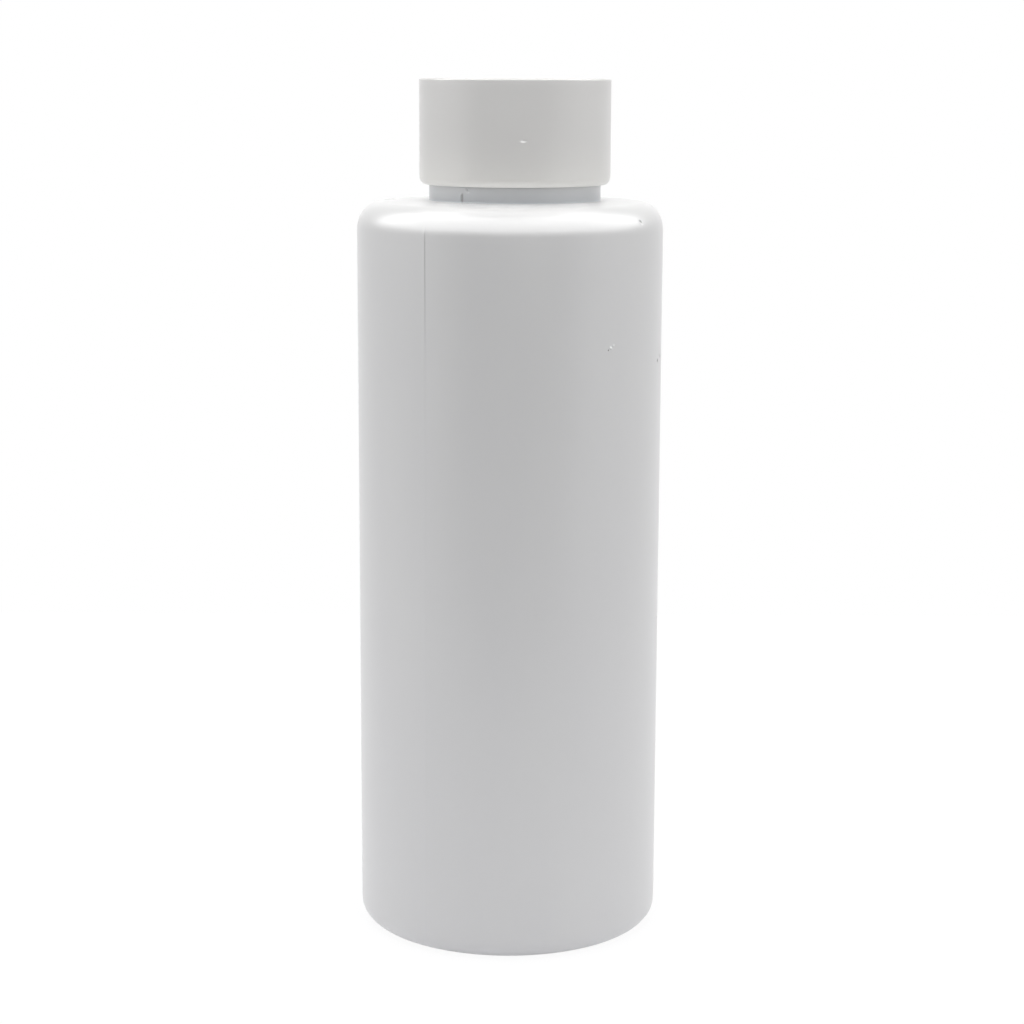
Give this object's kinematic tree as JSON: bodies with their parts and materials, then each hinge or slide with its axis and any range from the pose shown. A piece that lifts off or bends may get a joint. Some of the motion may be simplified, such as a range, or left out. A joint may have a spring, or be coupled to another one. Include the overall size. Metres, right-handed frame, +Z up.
{
  "type": "screw-cap bottle",
  "caption": "Round hollow plastic bottle with a rounded shoulder, a threaded neck, a smooth screw cap and a foam sealing disc.",
  "frame": {"origin": "middle of the ring that the bottle stands on", "axes": "+Z up along the bottle, towards the cap; -Y is the side that the picture shows; +X to the right of that view"},
  "size_m": [0.066, 0.066, 0.186],
  "materials": {
    "bottle": "glossy",
    "cap": "satin",
    "liner": "matte"
  },
  "bodies": {
    "bottle": {"bottle": "bottle"},
    "liner": {"liner": "liner"},
    "cap": {"cap": "cap"}
  },
  "joints": [
    {"name": "cap_lift", "type": "slide", "parent": "bottle", "child": "liner", "axis": [0, 0, 1], "range_m": [0, 0.0339]},
    {"name": "cap_turn", "type": "hinge", "parent": "liner", "child": "cap", "pos_m": [0.001, 0, 0.164], "axis": [0, 0, 1], "range_deg": [0, 2880]}
  ],
  "couplings": [
    {"joint": "cap_lift", "follows": "cap_turn", "m_per_rad": 0.0006737}
  ]
}
